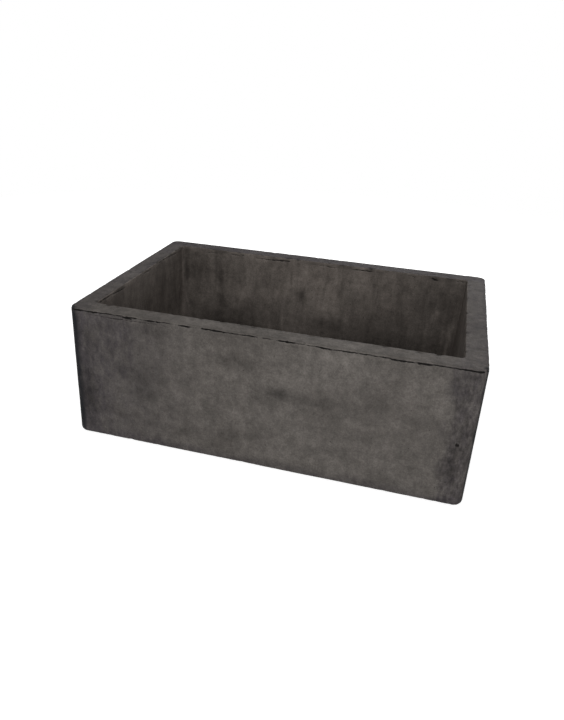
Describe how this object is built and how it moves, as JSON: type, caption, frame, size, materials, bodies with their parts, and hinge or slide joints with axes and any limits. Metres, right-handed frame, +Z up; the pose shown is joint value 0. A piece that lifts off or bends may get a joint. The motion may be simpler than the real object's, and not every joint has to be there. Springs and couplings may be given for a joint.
{
  "type": "farmhouse sink",
  "caption": "Apron-front kitchen sink: one deep rectangular bowl cast in dark concrete, with a lift-out basket strainer and a drain tailpiece below.",
  "frame": {"origin": "middle of the bowl's underside, the face that rests on the cabinet, on the drain's axis", "axes": "+X to the right along the apron seen from the front, +Y from the apron to the back, +Z up along the drain's axis"},
  "size_m": [0.762, 0.508, 0.4228],
  "materials": {
    "concrete": "matte",
    "steel": "brushed",
    "rubber": "matte",
    "fibre": "matte",
    "brass": "satin",
    "chrome": "polished",
    "poly": "matte"
  },
  "bodies": {
    "sink": {"basin": "concrete", "flange_gasket": "rubber", "strainer_body": "steel", "spider": "steel", "rubber_washer": "rubber", "fibre_washer": "fibre", "ring_nut": "brass", "tailpiece_seal": "poly", "coupling_nut": "brass", "tailpiece": "chrome"},
    "strainer_basket": {"basket": "steel", "basket_backing": "steel", "stopper": "rubber", "post": "steel", "knob": "chrome", "post_nut": "steel", "spring_clip": "steel"}
  },
  "joints": [
    {"name": "basket_lift", "type": "slide", "parent": "sink", "child": "strainer_basket", "axis": [0, 0, 1], "range_m": [0, 0.31]}
  ]
}
